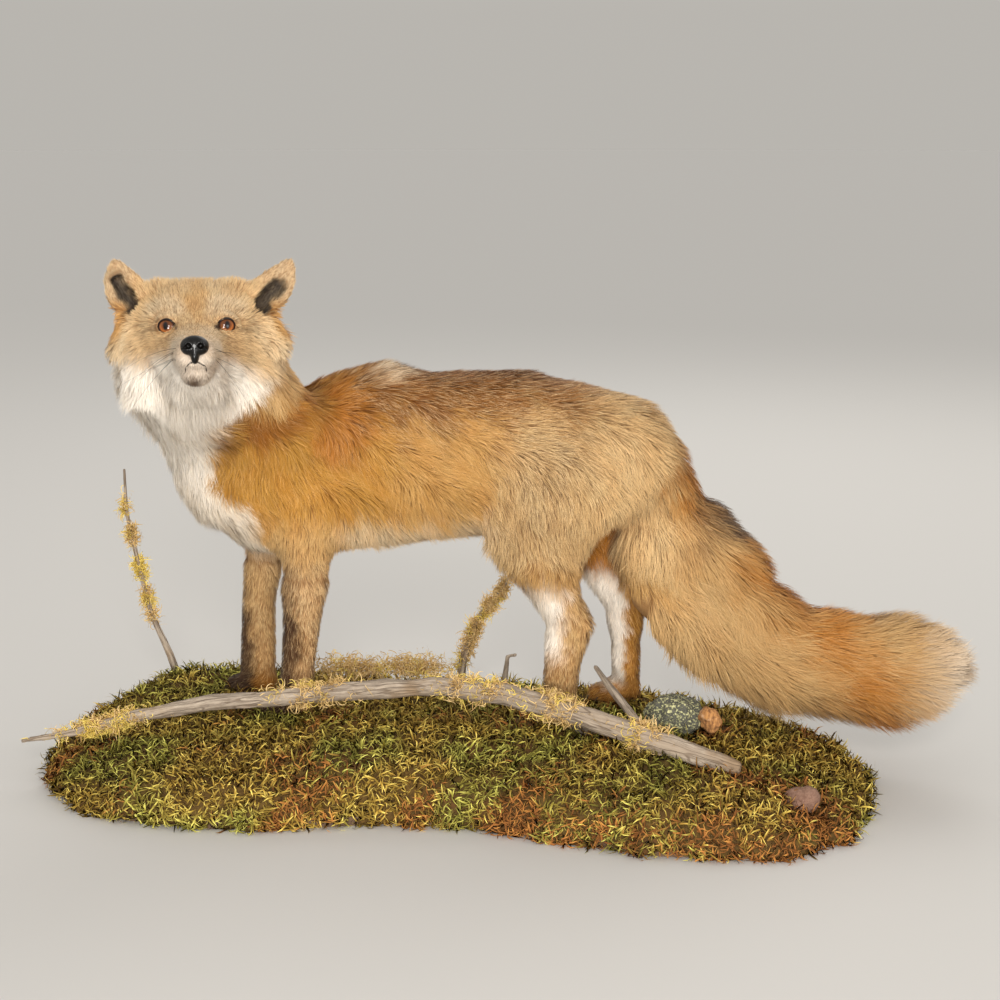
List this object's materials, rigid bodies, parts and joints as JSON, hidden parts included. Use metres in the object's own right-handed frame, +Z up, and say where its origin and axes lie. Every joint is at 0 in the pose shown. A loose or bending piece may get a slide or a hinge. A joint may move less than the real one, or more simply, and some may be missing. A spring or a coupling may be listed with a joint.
{
  "type": "mounted taxidermy fox on a moss habitat base",
  "caption": "Life-size red fox, mounted standing with its head turned and its brush trailing, on a low moss-covered base with driftwood, lichen and stones.",
  "frame": {"origin": "centre of the base's flat underside, on the surface it stands on", "axes": "+X from the fox's chest towards its tail, +Y towards the fox's right-hand side, +Z up; the head is turned to look along -Y"},
  "size_m": [0.995, 0.4291, 0.5444],
  "materials": {
    "coat_red": "long soft orange fur, grizzled along the back",
    "coat_pale": "long soft cream-white fur",
    "coat_dark": "short dark brown to black fur",
    "nose_leather": "pebbled, slightly glossy",
    "eye_glass": "amber glass eye, polished",
    "claw_horn": "dark horn, smooth",
    "moss": "dried cushion moss, olive to straw",
    "board": "stained board with soil and glue",
    "driftwood": "weathered silver-grey, cracked along the grain",
    "lichen": "dry ochre to yellow lichen",
    "stone": "rough river stone, speckled with lichen",
    "bark": "broken orange-brown bark"
  },
  "bodies": {
    "root": {"bark_chip": "bark", "base_board": "board", "base_moss": "moss", "branch_main": "driftwood", "branch_side_twig": "driftwood", "fox_ear_left": "coat_dark", "fox_ear_right": "coat_dark", "fox_eye_left": "eye_glass", "fox_eye_right": "eye_glass", "fox_foreleg_left_lower": "coat_dark", "fox_foreleg_left_upper": "coat_red", "fox_foreleg_right_lower": "coat_dark", "fox_foreleg_right_upper": "coat_red", "fox_forepaw_left": "coat_dark", "fox_forepaw_right": "coat_dark", "fox_head": "coat_red", "fox_hindleg_left_lower": "coat_pale", "fox_hindleg_left_upper": "coat_red", "fox_hindleg_right_lower": "coat_pale", "fox_hindleg_right_upper": "coat_red", "fox_hindpaw_left": "coat_red", "fox_hindpaw_right": "coat_red", "fox_lower_jaw": "coat_pale", "fox_neck": "coat_pale", "fox_nose": "nose_leather", "fox_tail_middle": "coat_red", "fox_tail_root": "coat_red", "fox_tail_tip": "coat_pale", "fox_trunk_front": "coat_red", "fox_trunk_rear": "coat_red", "lichen_branch_end": "lichen", "lichen_branch_fork": "lichen", "lichen_branch_left": "lichen", "lichen_branch_middle": "lichen", "lichen_branch_right": "lichen", "lichen_mat_left": "lichen", "lichen_mat_middle": "lichen", "lichen_twig_high": "lichen", "lichen_twig_low": "lichen", "lichen_upright_high": "lichen", "lichen_upright_low": "lichen", "lichen_upright_middle": "lichen", "stone_flat": "stone", "stone_round": "stone", "stone_speckled": "stone", "twig_curled": "driftwood", "twig_middle": "driftwood", "twig_upright": "driftwood"}
  },
  "joints": []
}
